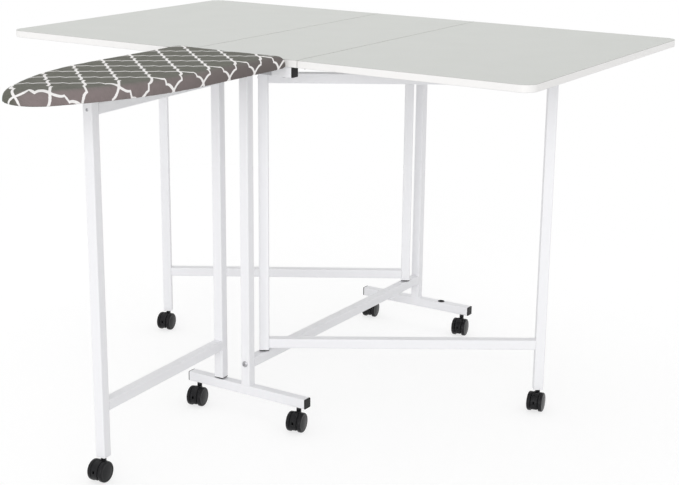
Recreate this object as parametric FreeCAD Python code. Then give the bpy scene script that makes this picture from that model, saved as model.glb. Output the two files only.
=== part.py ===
import FreeCAD, Part
import math
import os
from FreeCAD import Vector

# Folding sewing and cutting table with a padded ironing board.
# A narrow centre panel stands on two I-shaped end frames of square tube. A drop leaf is
# hinged to each long side of it, and the ironing board to its front end. Two leaf gates
# and one ironing gate swing out on casters and hold the leaves and the board up.
# Millimetres, +Z up, X across the open leaves, +Y to the back. The table is laid out
# about its own middle and moved at the end, so that the origin lies on the floor at
# the middle of the whole footprint.

# Worktop
top_height = 923.0            # floor to the working surface
top_length = 1500.0           # across both open leaves
top_depth = 894.0             # front edge to back edge
panel_thickness = 18.0
centre_panel_width = 310.0
seam_gap = 2.4                # between the centre panel and each leaf
top_corner_radius = 32.0
top_edge_radius = 1.5

# Square tube that every frame and gate is made of
tube_size = 25.0
tube_wall = 1.5
tube_corner = 2.5

# End frames
frame_inset = 1.5             # outer face of an end frame behind the panel's edge
foot_length = 356.0
top_bar_length = 278.0
beam_rise = 44.5              # top of a foot to the underside of the lower beam
caster_inset = 23.5           # end of a foot's tube to the caster's stem
panel_screw_inset = 28.0      # end of a top bar's tube to its screw

# Plastic end caps and plugs
cap_thickness = 3.0
cap_chamfer = 0.8
plug_depth = 14.0
plug_clearance = 0.05

# Gates
gate_reach = 704.0            # middle of the post to middle of the outer leg
gate_setback = 72.0           # middle of the column to middle of the gate's post
right_gate_angle = 32.8       # open gate, turned from the leaf's long direction
left_gate_angle = 31.9
lower_rail_rise = 9.0         # top of the lower beam to the underside of the lower rail
upper_rail_drop = 35.0        # underside of the panel to the top of the upper rail

# Ironing gate
ironing_reach = 484.0
ironing_post_offset = 84.5    # middle of the column to the post, along the foot
ironing_gate_angle = 3.2      # open gate, turned from square to the table's front edge

# Pivots of the gates: a pin moulded on each post plug turns in a bush
pivot_radius = 5.0
pivot_clearance = 0.05
pivot_length = 12.0
bush_radius = 7.0
bush_flange_radius = 9.5
bush_flange = 1.7
bush_depth = 10.0
post_gap = 2.0                # tube that carries the bush to the cap of the post
post_cap = 2.0

# Bolts of the beams and screws of the top bars
bolt_radius = 4.0
bolt_head_radius = 7.5
bolt_head = 4.0
bolt_grip = 16.0              # length of the bolt inside the beam's end plug
beam_plug_depth = 20.0
panel_screw_radius = 2.5
panel_screw_head_radius = 6.0
panel_screw_head = 3.0
panel_screw_bite = 12.0       # length of the screw inside the panel
hole_clearance = 0.2
thread_clearance = 0.02

# Butt hinges, under the seams and at the front of the table
hinge_length = 60.0
wing_width = 25.0
board_wing_width = 20.0
wing_thickness = 2.0
knuckle_radius = 3.5
knuckle_count = 5
knuckle_gap = 0.3
hinge_pin_radius = 2.0
hinge_clearance = 0.05
hinge_screw_radius = 2.1
hinge_screw_spacing = 36.0
outer_hinge_station = 385.0   # hinges near the ends of each seam
middle_hinge_station = 60.0   # hinge near the middle, clear of the ironing gate's leg
board_hinge_spacing = 160.0

# Ironing board
board_gap = 4.0               # front edge of the table to the board
board_length = 721.0
board_width = 332.0
board_offset = -27.0          # middle of the board from the middle of the table
board_nose_length = 400.0     # tapered part, up to the tip
board_nose_radius = 76.0
board_corner_radius = 26.0
deck_thickness = 12.0
pad_height = 28.0             # underside of the deck to the top of the padding
pad_side = 8.0                # padding and cover beside the deck
pad_top_radius = 11.0
pad_hem_radius = 5.0          # where the cover turns in under the board
pad_seat = 0.3                # padded cover to the deck

# Twin-wheel casters
caster_height = 56.0          # floor to the end of a gate's leg
foot_stem_rise = 5.5          # longer collar of the stems under the feet
foot_caster_angle = 9.5       # casters as they stand, turned from the table's length
gate_caster_angle = 10.5
ironing_caster_angle = 3.0
wheel_radius = 25.0
wheel_width = 11.3
wheel_bore_depth = 8.3
wheel_shoulder = 4.0          # rounding of the tread to the outer face
wheel_inner_edge = 1.0        # bevel of the tread beside the hood
wheel_recess = 3.0
wheel_rim = 5.5
wheel_dome_inset = 2.0        # inside of the rim to the raised disc on the outer face
wheel_dome_rise = 1.2
hub_radius = 8.0
wheel_gap = 20.0              # between the two wheels
caster_trail = 13.5           # stem to axle
axle_radius = 3.0
axle_clearance = 0.06
web_clearance = 1.2           # hood to each wheel
web_floor = 16.0              # how far the hood reaches below the axle
hood_rise = 0.8               # hood's top above the wheels
hood_edge = 1.2               # bevel round the sides of the hood
window_width = 5.0            # moulded window in the hood, on the side away from the stem
window_height = 7.0
window_depth = 8.0
window_rise = 4.0             # middle of the window above the axle
neck_radius = 6.2
stem_radius = 5.0
stem_length = 18.0
stem_collar_radius = 6.0
stem_collar = 1.2
stem_pin_radius = 4.0
stem_pin_length = 15.0
stem_clearance = 0.05
swivel_gap = 0.3

# Heights and places that follow from the sizes above
half_tube = tube_size / 2
foot_bottom = caster_height + foot_stem_rise
foot_top = foot_bottom + tube_size
beam_bottom = foot_top + beam_rise
beam_top = beam_bottom + tube_size
panel_underside = top_height - panel_thickness
bar_bottom = panel_underside - tube_size
lower_rail_middle = beam_top + lower_rail_rise + half_tube
upper_rail_middle = panel_underside - upper_rail_drop - half_tube
rest_gap = 0.3                # cap of an outer leg to the leaf that it holds
leg_top = panel_underside - rest_gap - cap_thickness
frame_y = top_depth / 2 - frame_inset - half_tube
gate_post_y = frame_y - gate_setback
seam_x = (centre_panel_width + seam_gap) / 2
hinge_axis_z = panel_underside - knuckle_radius
bar_face_y = frame_y + half_tube
board_hinge_y = bar_face_y + knuckle_radius
board_end_y = top_depth / 2 + board_gap
foot_caster_x = foot_length / 2 - caster_inset
panel_screw_x = top_bar_length / 2 - panel_screw_inset
board_tip_y = board_end_y + board_length
footprint_shift = (board_tip_y - bar_face_y - bolt_head) / 2

X_AXIS = Vector(1, 0, 0)
Y_AXIS = Vector(0, 1, 0)
Z_AXIS = Vector(0, 0, 1)


# ---- small helpers -------------------------------------------------------------------

def save(name, solids):
    """Write one named sub-part, moved to the footprint's middle."""
    group = Part.makeCompound(solids)
    group.translate(Vector(0, footprint_shift, 0))
    group.exportStep("parts/" + name + ".step")


def moved(shape, x, y, z):
    copy = shape.copy()
    copy.translate(Vector(x, y, z))
    return copy


def spun(shape, axis, angle):
    copy = shape.copy()
    copy.rotate(Vector(0, 0, 0), axis, angle)
    return copy


def half_turned(shape):
    """The same piece at the other end of the table."""
    return spun(shape, Z_AXIS, 180)


def cylinder(radius, length, x, y, z, axis=Z_AXIS):
    return Part.makeCylinder(radius, length, Vector(x, y, z), axis)


def is_upright(edge):
    return abs(edge.tangentAt(edge.FirstParameter).z) > 0.99


def square_bar(size, corner, length):
    """Solid square bar up the Z axis, with rounded corners."""
    bar = Part.makeBox(size, size, length, Vector(-size / 2, -size / 2, 0))
    return bar.makeFillet(corner, [edge for edge in bar.Edges if is_upright(edge)])


def upright_tube(bottom, top):
    length = top - bottom
    outer = square_bar(tube_size, tube_corner, length)
    inner = square_bar(tube_size - 2 * tube_wall, tube_corner - tube_wall, length)
    return moved(outer.cut(inner), 0, 0, bottom)


def level_tube(start, end, height):
    """Tube along X, with its middle line at the given height."""
    tube = spun(upright_tube(0, end - start), Y_AXIS, 90)
    return moved(tube, start, 0, height)


def plug(depth):
    """Block that fills the inside of a tube."""
    size = tube_size - 2 * (tube_wall + plug_clearance)
    return square_bar(size, tube_corner - tube_wall, depth)


def end_cap(thickness):
    """Cap on the upper end of a tube whose end lies at Z = 0."""
    plate = square_bar(tube_size, tube_corner, thickness)
    rim = [edge for edge in plate.Edges if edge.BoundBox.ZMin > thickness - 0.01]
    plate = plate.makeChamfer(cap_chamfer, rim)
    return plate.fuse(moved(plug(plug_depth), 0, 0, -plug_depth)).removeSplitter()


# ---- worktop -------------------------------------------------------------------------

def round_outer_edges(panel, seam_sides):
    """Soften the edge band, but leave the sides that meet at a seam square."""
    edges = []
    for edge in panel.Edges:
        box = edge.BoundBox
        at_seam = any(abs(box.XMin - x) < 0.1 and abs(box.XMax - x) < 0.1 for x in seam_sides)
        if not is_upright(edge) and not at_seam:
            edges.append(edge)
    return panel.makeFillet(top_edge_radius, edges)


def leaf_panel():
    """Right leaf: square at the seam, with two rounded outer corners."""
    seam = seam_x + seam_gap / 2
    outer = top_length / 2
    panel = Part.makeBox(outer - seam, top_depth, panel_thickness,
                         Vector(seam, -top_depth / 2, panel_underside))
    corners = [edge for edge in panel.Edges
               if is_upright(edge) and edge.BoundBox.XMax > outer - 1]
    return round_outer_edges(panel.makeFillet(top_corner_radius, corners), [seam])


def centre_panel():
    half = centre_panel_width / 2
    panel = Part.makeBox(centre_panel_width, top_depth, panel_thickness,
                         Vector(-half, -top_depth / 2, panel_underside))
    panel = round_outer_edges(panel, [-half, half])
    for x in (-panel_screw_x, panel_screw_x):
        for y in (-frame_y, frame_y):
            panel = panel.cut(cylinder(panel_screw_radius + thread_clearance,
                                       panel_screw_bite, x, y, panel_underside))
    return panel


# ---- end frames and beams ------------------------------------------------------------

def foot():
    """Front foot: holes for two caster stems and for the bush of the ironing gate."""
    tube = moved(level_tube(-foot_length / 2, foot_length / 2, foot_bottom + half_tube),
                 0, -frame_y, 0)
    for x in (-foot_caster_x, foot_caster_x):
        tube = tube.cut(cylinder(stem_radius + stem_clearance, 2 * tube_wall,
                                 x, -frame_y, foot_bottom - tube_wall / 2))
    return tube.cut(cylinder(bush_radius + thread_clearance, 2 * tube_wall,
                             -ironing_post_offset, -frame_y, foot_top - 1.5 * tube_wall))


def top_bar():
    """Front top bar: holes for its bush, the upper beam's bolt and two panel screws."""
    tube = moved(level_tube(-top_bar_length / 2, top_bar_length / 2, bar_bottom + half_tube),
                 0, -frame_y, 0)
    tube = tube.cut(cylinder(bush_radius + thread_clearance, 2 * tube_wall,
                             -ironing_post_offset, -frame_y, bar_bottom - tube_wall / 2))
    tube = tube.cut(bolt_hole(bar_bottom + half_tube))
    for x in (-panel_screw_x, panel_screw_x):
        tube = tube.cut(cylinder(panel_screw_radius + hole_clearance, tube_size,
                                 x, -frame_y, bar_bottom))
    return tube


def column():
    tube = moved(upright_tube(foot_top, bar_bottom), 0, -frame_y, 0)
    return tube.cut(bolt_hole(beam_bottom + half_tube))


def bolt_hole(height):
    return cylinder(bolt_radius + hole_clearance, tube_size, 0, -bar_face_y, height, Y_AXIS)


def beam(bottom, bush_side):
    """Tube along Y between the end frames, with bush holes in its top or bottom wall."""
    reach = frame_y - half_tube
    tube = spun(level_tube(-reach, reach, bottom + half_tube), Z_AXIS, 90)
    wall = bottom + half_tube + bush_side * (half_tube - tube_wall / 2)
    for y in (-gate_post_y, gate_post_y):
        tube = tube.cut(cylinder(bush_radius + thread_clearance, 2 * tube_wall,
                                 0, y, wall - tube_wall))
    return tube


def beam_end_plug(height):
    """Threaded plug in the front end of a beam, which its bolt pulls on."""
    block = spun(plug(beam_plug_depth), X_AXIS, -90)
    block = moved(block, 0, -frame_y + half_tube, height)
    return block.cut(cylinder(bolt_radius + thread_clearance, beam_plug_depth,
                              0, -frame_y + half_tube, height, Y_AXIS))


def beam_bolt(height):
    """Bolt from the front face of the frame into the beam's end plug."""
    head = cylinder(bolt_head_radius, bolt_head, 0, -bar_face_y - bolt_head, height, Y_AXIS)
    rim = [edge for edge in head.Edges if edge.BoundBox.YMax < -bar_face_y - bolt_head + 0.1
           and edge.BoundBox.XLength > bolt_head_radius]
    head = head.makeFillet(bolt_head * 0.4, rim)
    shank = cylinder(bolt_radius, tube_size + bolt_grip, 0, -bar_face_y, height, Y_AXIS)
    socket = cylinder(bolt_head_radius * 0.4, bolt_head / 2, 0, -bar_face_y - bolt_head,
                      height, Y_AXIS)
    return head.fuse(shank).cut(socket)


def panel_screw(x):
    """Pan-head screw up through a top bar into the centre panel."""
    head = cylinder(panel_screw_head_radius, panel_screw_head,
                    x, -frame_y, bar_bottom - panel_screw_head)
    shank = cylinder(panel_screw_radius, tube_size + panel_screw_bite,
                     x, -frame_y, bar_bottom)
    return head.fuse(shank)


def bar_caps(length, height):
    """Caps on both ends of a front foot or top bar."""
    cap = moved(spun(end_cap(cap_thickness), Y_AXIS, 90), length / 2, -frame_y, height)
    other = moved(spun(end_cap(cap_thickness), Y_AXIS, -90), -length / 2, -frame_y, height)
    return [cap, other]


def pivot_bush():
    """Flanged bush that stands in a hole of the tube wall whose face is at Z = 0."""
    body = cylinder(bush_radius, bush_depth, 0, 0, -bush_depth)
    flange = cylinder(bush_flange_radius, bush_flange, 0, 0, 0)
    bore = cylinder(pivot_radius + pivot_clearance, bush_depth + bush_flange, 0, 0, -bush_depth)
    return body.fuse(flange).cut(bore)


def pivot_bushes():
    """Bushes of the leaf gates in the beams, and of the ironing gate at both ends."""
    low = pivot_bush()
    high = spun(pivot_bush(), X_AXIS, 180)
    front = [moved(low, 0, -gate_post_y, beam_top),
             moved(high, 0, -gate_post_y, bar_bottom),
             moved(low, -ironing_post_offset, -frame_y, foot_top),
             moved(high, -ironing_post_offset, -frame_y, bar_bottom)]
    return front + [half_turned(bush) for bush in front]


def save_end_frames():
    heights = (beam_bottom + half_tube, bar_bottom + half_tube)
    pieces = {"foot": foot(), "column": column(), "top_bar": top_bar()}
    for name, piece in pieces.items():
        save("front_" + name, [piece])
        save("back_" + name, [half_turned(piece)])
    save("lower_beam", [beam(beam_bottom, 1)])
    save("upper_beam", [beam(bar_bottom, -1)])
    plugs = [beam_end_plug(height) for height in heights]
    plugs += bar_caps(foot_length, foot_bottom + half_tube)
    plugs += bar_caps(top_bar_length, bar_bottom + half_tube)
    save("frame_end_plugs", plugs + [half_turned(piece) for piece in plugs])
    bolts = [beam_bolt(height) for height in heights]
    bolts += [panel_screw(x) for x in (-panel_screw_x, panel_screw_x)]
    save("frame_bolts", bolts + [half_turned(piece) for piece in bolts])
    save("pivot_bushes", pivot_bushes())


# ---- gates ---------------------------------------------------------------------------

def pivot_plug():
    """Plug of a post's lower end, with the pin that turns in the bush below it."""
    cap = moved(square_bar(tube_size, tube_corner, post_cap), 0, 0, -post_cap)
    pin = cylinder(pivot_radius, pivot_length, 0, 0, -post_cap - pivot_length)
    return plug(plug_depth).fuse(cap).fuse(pin).removeSplitter()


def leg_insert():
    """Plug flush with the lower end of a leg, bored for the caster's stem."""
    bore = cylinder(stem_radius + stem_clearance, stem_length, 0, 0, 0)
    return plug(stem_length + tube_wall).cut(bore)


def gate(reach, carrier_top):
    """Pieces of a gate whose post stands on the Z axis and whose leg is out along +X."""
    bottom = carrier_top + post_gap + post_cap
    top = bar_bottom - post_gap - post_cap
    rail_start = half_tube
    rail_end = reach - half_tube
    plugs = [moved(pivot_plug(), 0, 0, bottom),
             moved(spun(pivot_plug(), X_AXIS, 180), 0, 0, top),
             moved(end_cap(cap_thickness), reach, 0, leg_top),
             moved(leg_insert(), reach, 0, caster_height)]
    return {"post": [upright_tube(bottom, top)],
            "upper_rail": [level_tube(rail_start, rail_end, upper_rail_middle)],
            "lower_rail": [level_tube(rail_start, rail_end, lower_rail_middle)],
            "leg": [moved(upright_tube(caster_height, leg_top), reach, 0, 0)],
            "plugs": plugs}


def save_gate(name, reach, carrier_top, angle, x, y):
    for piece, solids in gate(reach, carrier_top).items():
        placed = [moved(spun(solid, Z_AXIS, angle), x, y, 0) for solid in solids]
        save(name + "_gate_" + piece, placed)


def leg_place(reach, angle, x, y):
    turn = math.radians(angle)
    return x + reach * math.cos(turn), y + reach * math.sin(turn)


# ---- hinges --------------------------------------------------------------------------

def hinge_wing(width, first_knuckle):
    """Wing along X from the pin towards +Y, flush with the top of its knuckles."""
    pitch = hinge_length / knuckle_count
    wing = Part.makeBox(hinge_length, width, wing_thickness,
                        Vector(-hinge_length / 2, 0, knuckle_radius - wing_thickness))
    for index in range(knuckle_count):
        start = -hinge_length / 2 + index * pitch
        if index % 2 == first_knuckle:
            wing = wing.fuse(cylinder(knuckle_radius, pitch - knuckle_gap,
                                      start + knuckle_gap / 2, 0, 0, X_AXIS))
        else:
            room = knuckle_radius + knuckle_gap
            wing = wing.cut(Part.makeBox(pitch + knuckle_gap, room, 2 * room,
                                         Vector(start - knuckle_gap / 2, 0, -room)))
    wing = wing.cut(cylinder(hinge_pin_radius + hinge_clearance, hinge_length,
                             -hinge_length / 2, 0, 0, X_AXIS))
    for x in (-hinge_screw_spacing / 2, hinge_screw_spacing / 2):
        wing = wing.cut(cylinder(hinge_screw_radius, 2 * wing_thickness,
                                 x, width * 0.6, knuckle_radius - 1.5 * wing_thickness))
    return wing


def seam_hinge(station):
    """Fixed wing, pin and moving wing of one hinge under the right-hand seam."""
    fixed = spun(hinge_wing(wing_width, 0), Z_AXIS, 90)
    moving = spun(hinge_wing(wing_width, 1), Z_AXIS, -90)
    pin = cylinder(hinge_pin_radius, hinge_length, 0, -hinge_length / 2, 0, Y_AXIS)
    return [moved(piece, seam_x, station, hinge_axis_z) for piece in (fixed, pin, moving)]


def board_hinge(x):
    """Hinge at the front: its fixed wing is screwed on the face of the top bar."""
    fixed = spun(hinge_wing(board_wing_width, 0), X_AXIS, -90)
    moving = spun(hinge_wing(board_wing_width, 1), Z_AXIS, 180)
    pin = cylinder(hinge_pin_radius, hinge_length, -hinge_length / 2, 0, 0, X_AXIS)
    return [moved(piece, x, -board_hinge_y, hinge_axis_z) for piece in (fixed, pin, moving)]


def save_hinges():
    fixed = []
    moving = []
    for station in (-outer_hinge_station, middle_hinge_station, outer_hinge_station):
        pieces = seam_hinge(station)
        fixed += pieces[:2] + [half_turned(piece) for piece in pieces[:2]]
        moving.append(pieces[2])
    board_moving = []
    for side in (-0.5, 0.5):
        pieces = board_hinge(board_offset + side * board_hinge_spacing)
        fixed += pieces[:2]
        board_moving.append(pieces[2])
    save("fixed_hinge_wings", fixed)
    save("right_leaf_hinge_wings", moving)
    save("left_leaf_hinge_wings", [half_turned(wing) for wing in moving])
    save("board_hinge_wings", board_moving)


# ---- ironing board -------------------------------------------------------------------

def on_arc(centre, radius, angle):
    return centre + Vector(radius * math.cos(angle), radius * math.sin(angle), 0)


def board_outline(inset):
    """Board shape: blunt end at Y = 0 with rounded corners, and a nose towards -Y."""
    half = board_width / 2 - inset
    shoulder_y = board_nose_length - board_length
    nose = board_nose_radius - inset
    tip_y = inset - board_length
    rise = shoulder_y - tip_y
    flank = (half ** 2 + rise ** 2 - 2 * rise * nose) / (2 * (half - nose))
    flank_centre = Vector(half - flank, shoulder_y, 0)
    nose_centre = Vector(0, tip_y + nose, 0)
    lean = math.atan2(nose_centre.y - flank_centre.y, nose_centre.x - flank_centre.x)
    corner = board_corner_radius - inset
    corner_centre = Vector(half - corner, -inset - corner, 0)

    right = [Part.Arc(Vector(half - corner, -inset, 0),
                      on_arc(corner_centre, corner, math.pi / 4),
                      Vector(half, -inset - corner, 0)),
             Part.LineSegment(Vector(half, -inset - corner, 0), Vector(half, shoulder_y, 0)),
             Part.Arc(Vector(half, shoulder_y, 0), on_arc(flank_centre, flank, lean / 2),
                      on_arc(flank_centre, flank, lean)),
             Part.Arc(on_arc(nose_centre, nose, lean),
                      on_arc(nose_centre, nose, (lean - math.pi / 2) / 2),
                      Vector(0, tip_y, 0))]
    edges = [curve.toShape() for curve in right]
    edges += [edge.mirror(Vector(0, 0, 0), X_AXIS) for edge in edges]
    edges.append(Part.makeLine(Vector(half - corner, -inset, 0),
                               Vector(corner - half, -inset, 0)))
    return Part.Face(Part.Wire(Part.__sortEdges__(edges)))


def board_block(inset, bottom, top):
    face = board_outline(inset)
    face.translate(Vector(board_offset, -board_end_y, bottom))
    return face.extrude(Vector(0, 0, top - bottom))


def board_pad():
    """Padding with its cover, drawn over the deck and down its sides."""
    top = panel_underside + pad_height
    block = board_block(0, panel_underside, top)
    rim = [edge for edge in block.Edges if edge.BoundBox.ZMin > top - 0.01]
    block = block.makeFillet(pad_top_radius, rim)
    hem = [edge for edge in block.Edges if edge.BoundBox.ZMax < panel_underside + 0.01]
    block = block.makeFillet(pad_hem_radius, hem)
    pocket = board_block(pad_side, panel_underside - 1,
                         panel_underside + deck_thickness + pad_seat)
    return block.cut(pocket)


def save_ironing_board():
    deck = board_block(pad_side + pad_seat, panel_underside,
                       panel_underside + deck_thickness)
    save("ironing_board_deck", [deck])
    save("ironing_board_pad", [board_pad()])


# ---- casters -------------------------------------------------------------------------

def caster_stem(tube_bottom):
    """Stem fixed in the tube above, with a collar and the pin that the hood turns on."""
    collar_bottom = caster_height - stem_collar
    collar = cylinder(stem_collar_radius, tube_bottom - collar_bottom, 0, 0, collar_bottom)
    shank = cylinder(stem_radius, stem_length, 0, 0, tube_bottom)
    pin = cylinder(stem_pin_radius, stem_pin_length, 0, 0, collar_bottom - stem_pin_length)
    return collar.fuse(shank).fuse(pin)


def caster_hood():
    """Body between the wheels, cut level near the floor, with a neck round the stem's pin."""
    half = wheel_gap / 2 - web_clearance
    radius = wheel_radius + hood_rise
    body = cylinder(radius, 2 * half, -half, 0, 0, X_AXIS)
    floor = Part.makeBox(4 * half, 4 * radius, radius,
                         Vector(-2 * half, -2 * radius, -web_floor - radius))
    body = body.cut(floor)
    body = body.makeChamfer(hood_edge, body.Edges)
    neck_top = caster_height - stem_collar - swivel_gap - wheel_radius
    neck = cylinder(neck_radius, neck_top, 0, caster_trail, 0)
    hood = body.fuse(neck).removeSplitter()
    hood = hood.cut(cylinder(stem_pin_radius + stem_clearance, stem_pin_length + swivel_gap,
                             0, caster_trail, neck_top - stem_pin_length))
    hood = hood.cut(Part.makeBox(window_width, 2 * window_depth, window_height,
                                 Vector(-window_width / 2, -radius - window_depth,
                                        window_rise - window_height / 2)))
    return hood.cut(cylinder(axle_radius + thread_clearance, 2 * half, -half, 0, 0, X_AXIS))


def axle():
    reach = wheel_gap / 2 + wheel_bore_depth - swivel_gap
    return cylinder(axle_radius, 2 * reach, -reach, 0, 0, X_AXIS)


def round_edges_at(shape, x):
    """The circles of a shape that lie in one plane across the X axis."""
    return [edge for edge in shape.Edges if isinstance(edge.Curve, Part.Circle)
            and abs(edge.BoundBox.XMin - x) < 0.01 and abs(edge.BoundBox.XMax - x) < 0.01]


def wheel():
    """Right wheel: open recess towards the hood, domed face outwards."""
    inner = wheel_gap / 2
    outer = inner + wheel_width
    rim = wheel_radius - wheel_rim
    dome = rim - wheel_dome_inset
    dome_radius = (dome ** 2 + wheel_dome_rise ** 2) / (2 * wheel_dome_rise)
    body = cylinder(wheel_radius, wheel_width - wheel_dome_rise, inner, 0, 0, X_AXIS)
    body = body.makeFillet(wheel_shoulder, round_edges_at(body, outer - wheel_dome_rise))
    body = body.makeChamfer(wheel_inner_edge, round_edges_at(body, inner))
    ball = Part.makeSphere(dome_radius, Vector(outer - dome_radius, 0, 0))
    hubcap = ball.common(cylinder(dome, wheel_width / 2, outer - wheel_width / 2, 0, 0, X_AXIS))
    body = body.fuse(hubcap)
    recess = cylinder(rim, wheel_recess, inner, 0, 0, X_AXIS)
    recess = recess.cut(cylinder(hub_radius, wheel_recess, inner, 0, 0, X_AXIS))
    bore = cylinder(axle_radius + axle_clearance, wheel_bore_depth, inner, 0, 0, X_AXIS)
    return body.cut(recess).cut(bore)


def caster_places():
    """Stem and standing angle of each caster, by name."""
    right = leg_place(gate_reach, right_gate_angle, 0, -gate_post_y)
    left = leg_place(gate_reach, 180 + left_gate_angle, 0, gate_post_y)
    ironing = leg_place(ironing_reach, ironing_gate_angle - 90,
                        -ironing_post_offset, -frame_y)
    return {"front_left": (-foot_caster_x, -frame_y, foot_caster_angle),
            "front_right": (foot_caster_x, -frame_y, foot_caster_angle),
            "back_left": (-foot_caster_x, frame_y, foot_caster_angle),
            "back_right": (foot_caster_x, frame_y, foot_caster_angle),
            "right_gate": (*right, gate_caster_angle),
            "left_gate": (*left, gate_caster_angle),
            "ironing_gate": (*ironing, ironing_caster_angle)}


def save_casters():
    hood = [caster_hood(), axle()]
    wheels = {"right": wheel(), "left": half_turned(wheel())}
    frame_stems = []
    for name, (x, y, angle) in caster_places().items():
        if name.endswith("gate"):
            save(name + "_caster_stem", [moved(caster_stem(caster_height), x, y, 0)])
        else:
            frame_stems.append(moved(caster_stem(foot_bottom), x, y, 0))
        turn = math.radians(angle)
        axle_x = x + caster_trail * math.sin(turn)
        axle_y = y - caster_trail * math.cos(turn)
        save(name + "_caster_hood",
             [moved(spun(piece, Z_AXIS, angle), axle_x, axle_y, wheel_radius)
              for piece in hood])
        for side, piece in wheels.items():
            save(name + "_caster_" + side + "_wheel",
                 [moved(spun(piece, Z_AXIS, angle), axle_x, axle_y, wheel_radius)])
    save("frame_caster_stems", frame_stems)


# ---- the whole table -----------------------------------------------------------------

os.makedirs("parts", exist_ok=True)
save("centre_panel", [centre_panel()])
save("right_leaf", [leaf_panel()])
save("left_leaf", [half_turned(leaf_panel())])
save_end_frames()
save_gate("right", gate_reach, beam_top, right_gate_angle, 0, -gate_post_y)
save_gate("left", gate_reach, beam_top, 180 + left_gate_angle, 0, gate_post_y)
save_gate("ironing", ironing_reach, foot_top, ironing_gate_angle - 90,
          -ironing_post_offset, -frame_y)
save_hinges()
save_ironing_board()
save_casters()
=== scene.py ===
# Folding sewing and cutting table with a padded ironing board, finished around its packed
# frame. Metres, +Z up, X across the open leaves, the ironing board towards -Y.
import math

import bmesh
import bpy
from mathutils import Matrix, Vector, kdtree, noise


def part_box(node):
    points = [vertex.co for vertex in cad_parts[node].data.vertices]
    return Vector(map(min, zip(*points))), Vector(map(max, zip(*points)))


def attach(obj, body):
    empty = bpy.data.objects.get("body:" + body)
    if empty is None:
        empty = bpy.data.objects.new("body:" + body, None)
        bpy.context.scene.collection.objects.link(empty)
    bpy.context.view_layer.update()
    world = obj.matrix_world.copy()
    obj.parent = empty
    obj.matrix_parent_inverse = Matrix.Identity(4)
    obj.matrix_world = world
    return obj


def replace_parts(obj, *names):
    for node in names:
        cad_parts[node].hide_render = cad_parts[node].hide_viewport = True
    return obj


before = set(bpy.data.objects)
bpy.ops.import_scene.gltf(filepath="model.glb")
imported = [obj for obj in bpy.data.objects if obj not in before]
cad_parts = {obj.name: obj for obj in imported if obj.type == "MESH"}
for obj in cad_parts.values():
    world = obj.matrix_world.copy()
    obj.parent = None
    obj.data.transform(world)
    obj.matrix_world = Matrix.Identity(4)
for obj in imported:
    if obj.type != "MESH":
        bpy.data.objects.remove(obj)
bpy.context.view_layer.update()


# ---- Worktop ---------------------------------------------------------------------------
# Three particleboard panels with a pale grey laminate on top and a white backing sheet
# below. A white plastic band is glued round their edges and trimmed flush, which leaves a
# fine dark line where it meets the laminate.

def add(tree, kind, inputs, **settings):
    """One node with its settings; an input is a value, or the socket that feeds it."""
    made = tree.nodes.new(kind)
    for label, value in settings.items():
        setattr(made, label, value)
    for label, value in inputs.items():
        if isinstance(value, bpy.types.NodeSocket):
            tree.links.new(value, made.inputs[label])
        else:
            made.inputs[label].default_value = value
    return made


def new_finish(name):
    """An empty material, its node tree and shader, and the place on the piece."""
    finish = bpy.data.materials.new(name)
    finish.use_nodes = True
    tree = finish.node_tree
    place = add(tree, "ShaderNodeTexCoord", {}).outputs["Object"]
    return finish, tree, tree.nodes["Principled BSDF"], place


def calc(tree, operation, first, second=0.0, third=0.0):
    """Result of a Math node."""
    return add(tree, "ShaderNodeMath", {0: first, 1: second, 2: third},
               operation=operation).outputs[0]


def blended(tree, share, first, second):
    """Colour that goes from the first to the second as share goes from 0 to 1."""
    made = add(tree, "ShaderNodeMix", {"Factor": share}, data_type="RGBA")
    for index, value in ((6, first), (7, second)):
        if isinstance(value, bpy.types.NodeSocket):
            tree.links.new(value, made.inputs[index])
        else:
            made.inputs[index].default_value = (*value, 1.0)
    return made.outputs[2]


def grain(tree, place, size, detail=2.0, roughness=0.5):
    """Noise whose features are about size metres across, from 0 to 1."""
    return add(tree, "ShaderNodeTexNoise", {
        "Vector": place, "Scale": 1.0 / size, "Detail": detail,
        "Roughness": roughness}).outputs[0]


def spread(tree, value, low, high):
    """The value 0 to 1 laid out between low and high."""
    return add(tree, "ShaderNodeMapRange", {"Value": value, "To Min": low,
                                            "To Max": high}).outputs[0]


def surface(tree, shader, colour, dullness):
    """Give the shader its colour and its roughness."""
    tree.links.new(colour, shader.inputs["Base Color"])
    tree.links.new(dullness, shader.inputs["Roughness"])


def relief(tree, shader, height, depth, strength):
    """Bump of that many metres on the shader."""
    bump = add(tree, "ShaderNodeBump", {"Height": height, "Distance": depth,
                                        "Strength": strength})
    tree.links.new(bump.outputs[0], shader.inputs["Normal"])


def dress(names, finish):
    """Give CAD nodes their finish in place of the plain one they were packed with."""
    for name in names:
        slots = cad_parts[name].data.materials
        if not slots:
            slots.append(finish)
        for index in range(len(slots)):
            slots[index] = finish


laminate_grey = (0.60, 0.615, 0.585)
laminate_fleck = (0.57, 0.585, 0.555)
band_white = (0.90, 0.89, 0.88)
backing_white = (0.74, 0.74, 0.73)
glue_line_grey = (0.45, 0.45, 0.44)
glue_line_width = 0.0007
glue_line_depth = 0.0009
backing_thickness = 0.0008
panel_low, panel_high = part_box("centre_panel")


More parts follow.
